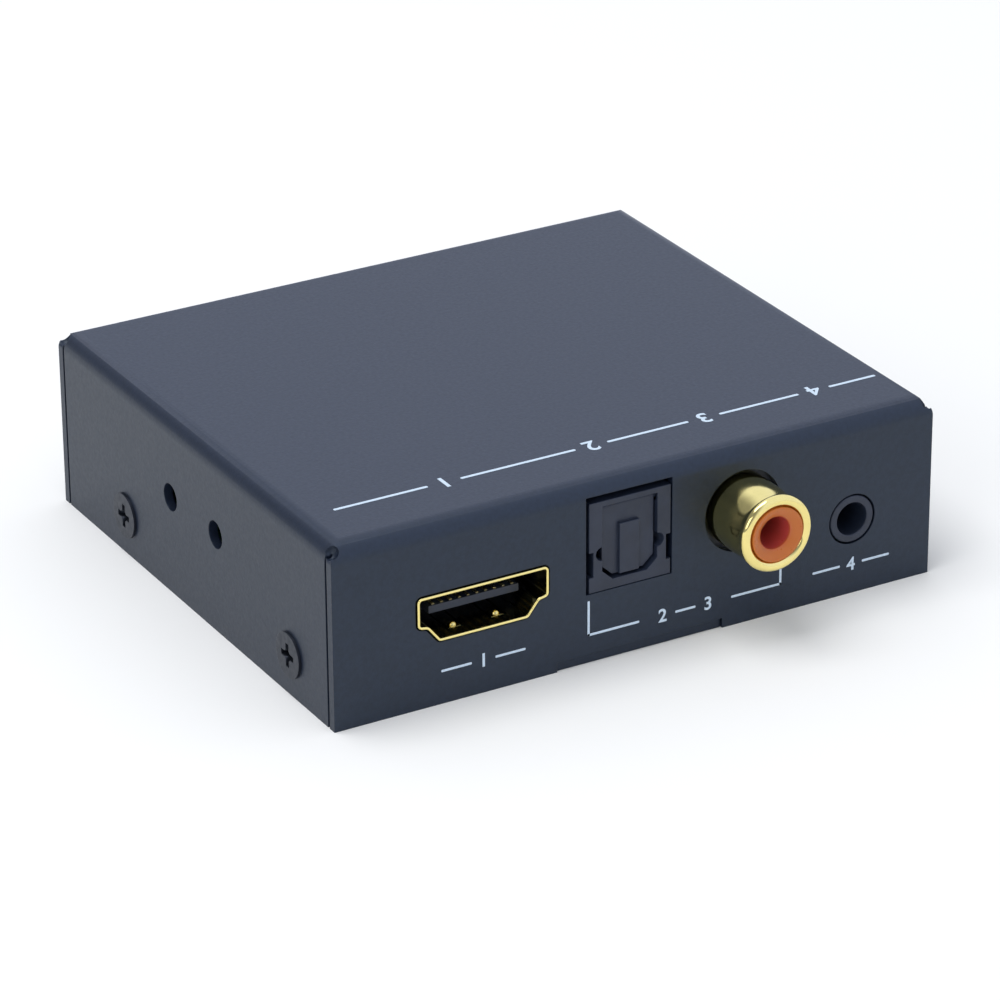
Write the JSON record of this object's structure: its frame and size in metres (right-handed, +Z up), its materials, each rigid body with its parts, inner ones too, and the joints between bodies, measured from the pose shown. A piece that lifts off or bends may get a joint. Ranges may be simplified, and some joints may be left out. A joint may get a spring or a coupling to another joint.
{
  "type": "digital audio extractor",
  "caption": "Small black sheet-metal converter box with gold video sockets, a shuttered optical jack, a coaxial jack, a stereo jack, a mode switch and a power jack.",
  "frame": {"origin": "centre of the case's underside, on the surface that it rests on", "axes": "+X to the right along the front wall, +Y from the front wall to the back wall, +Z up"},
  "size_m": [0.0706, 0.07, 0.02],
  "materials": {
    "case_coat": "fine powder coat, almost black",
    "screw_black": "black zinc",
    "steel": "plain zinc",
    "gold_plate": "bright gold plating",
    "contact_metal": "satin contact plating",
    "socket_plastic": "moulded, almost black",
    "insert_orange": "moulded orange",
    "board_green": "solder mask",
    "chip_black": "moulded epoxy",
    "lamp_clear": "diffused clear resin",
    "board_brown": "pressed laminate",
    "can_aluminium": "drawn",
    "ceramic_tan": "fired ceramic",
    "ferrite_grey": "pressed ferrite"
  },
  "bodies": {
    "case": {"cover": "case_coat", "base_plate": "case_coat", "cover_screws": "screw_black", "board_standoffs": "steel", "board_screws": "steel", "circuit_board": "board_green", "video_out_shell": "gold_plate", "video_out_insulator": "socket_plastic", "video_out_contacts": "contact_metal", "video_in_shell": "gold_plate", "video_in_insulator": "socket_plastic", "video_in_contacts": "contact_metal", "optical_housing": "socket_plastic", "optical_spring": "steel", "optical_emitter": "chip_black", "optical_leads": "steel", "coax_housing": "socket_plastic", "coax_barrel": "gold_plate", "coax_insulator": "insert_orange", "coax_centre_contact": "contact_metal", "coax_earth_tab": "contact_metal", "stereo_housing": "socket_plastic", "stereo_contacts": "contact_metal", "power_housing": "socket_plastic", "power_pin": "steel", "power_spring_contact": "contact_metal", "switch_frame": "steel", "switch_base": "board_brown", "switch_terminals": "steel", "power_light": "lamp_clear", "power_light_leads": "steel", "video_chip": "chip_black", "video_chip_leads": "steel", "controller_chip": "chip_black", "controller_chip_leads": "steel", "audio_chip": "chip_black", "audio_chip_leads": "steel", "memory_chip": "chip_black", "memory_chip_leads": "steel", "crystal_can": "can_aluminium", "voltage_regulators": "chip_black", "power_coil": "ferrite_grey", "capacitor_cans": "can_aluminium", "capacitor_feet": "chip_black", "chip_capacitors": "ceramic_tan", "chip_resistors": "chip_black"},
    "shutter": {"optical_shutter": "socket_plastic"},
    "lever": {"switch_lever": "socket_plastic", "switch_wiper": "contact_metal"}
  },
  "joints": [
    {"name": "optical_shutter_hinge", "type": "hinge", "parent": "case", "child": "shutter", "pos_m": [-0.00126, -0.0298, 0.0166], "axis": [1, 0, 0], "range_deg": [0, 86], "stiffness_Nm_per_rad": 0.0001, "springref_deg": -20.05, "deforming": ["optical_spring"]},
    {"name": "mode_switch_slide", "type": "slide", "parent": "case", "child": "lever", "axis": [1, 0, 0], "range_m": [-0.002, 0.002]}
  ]
}
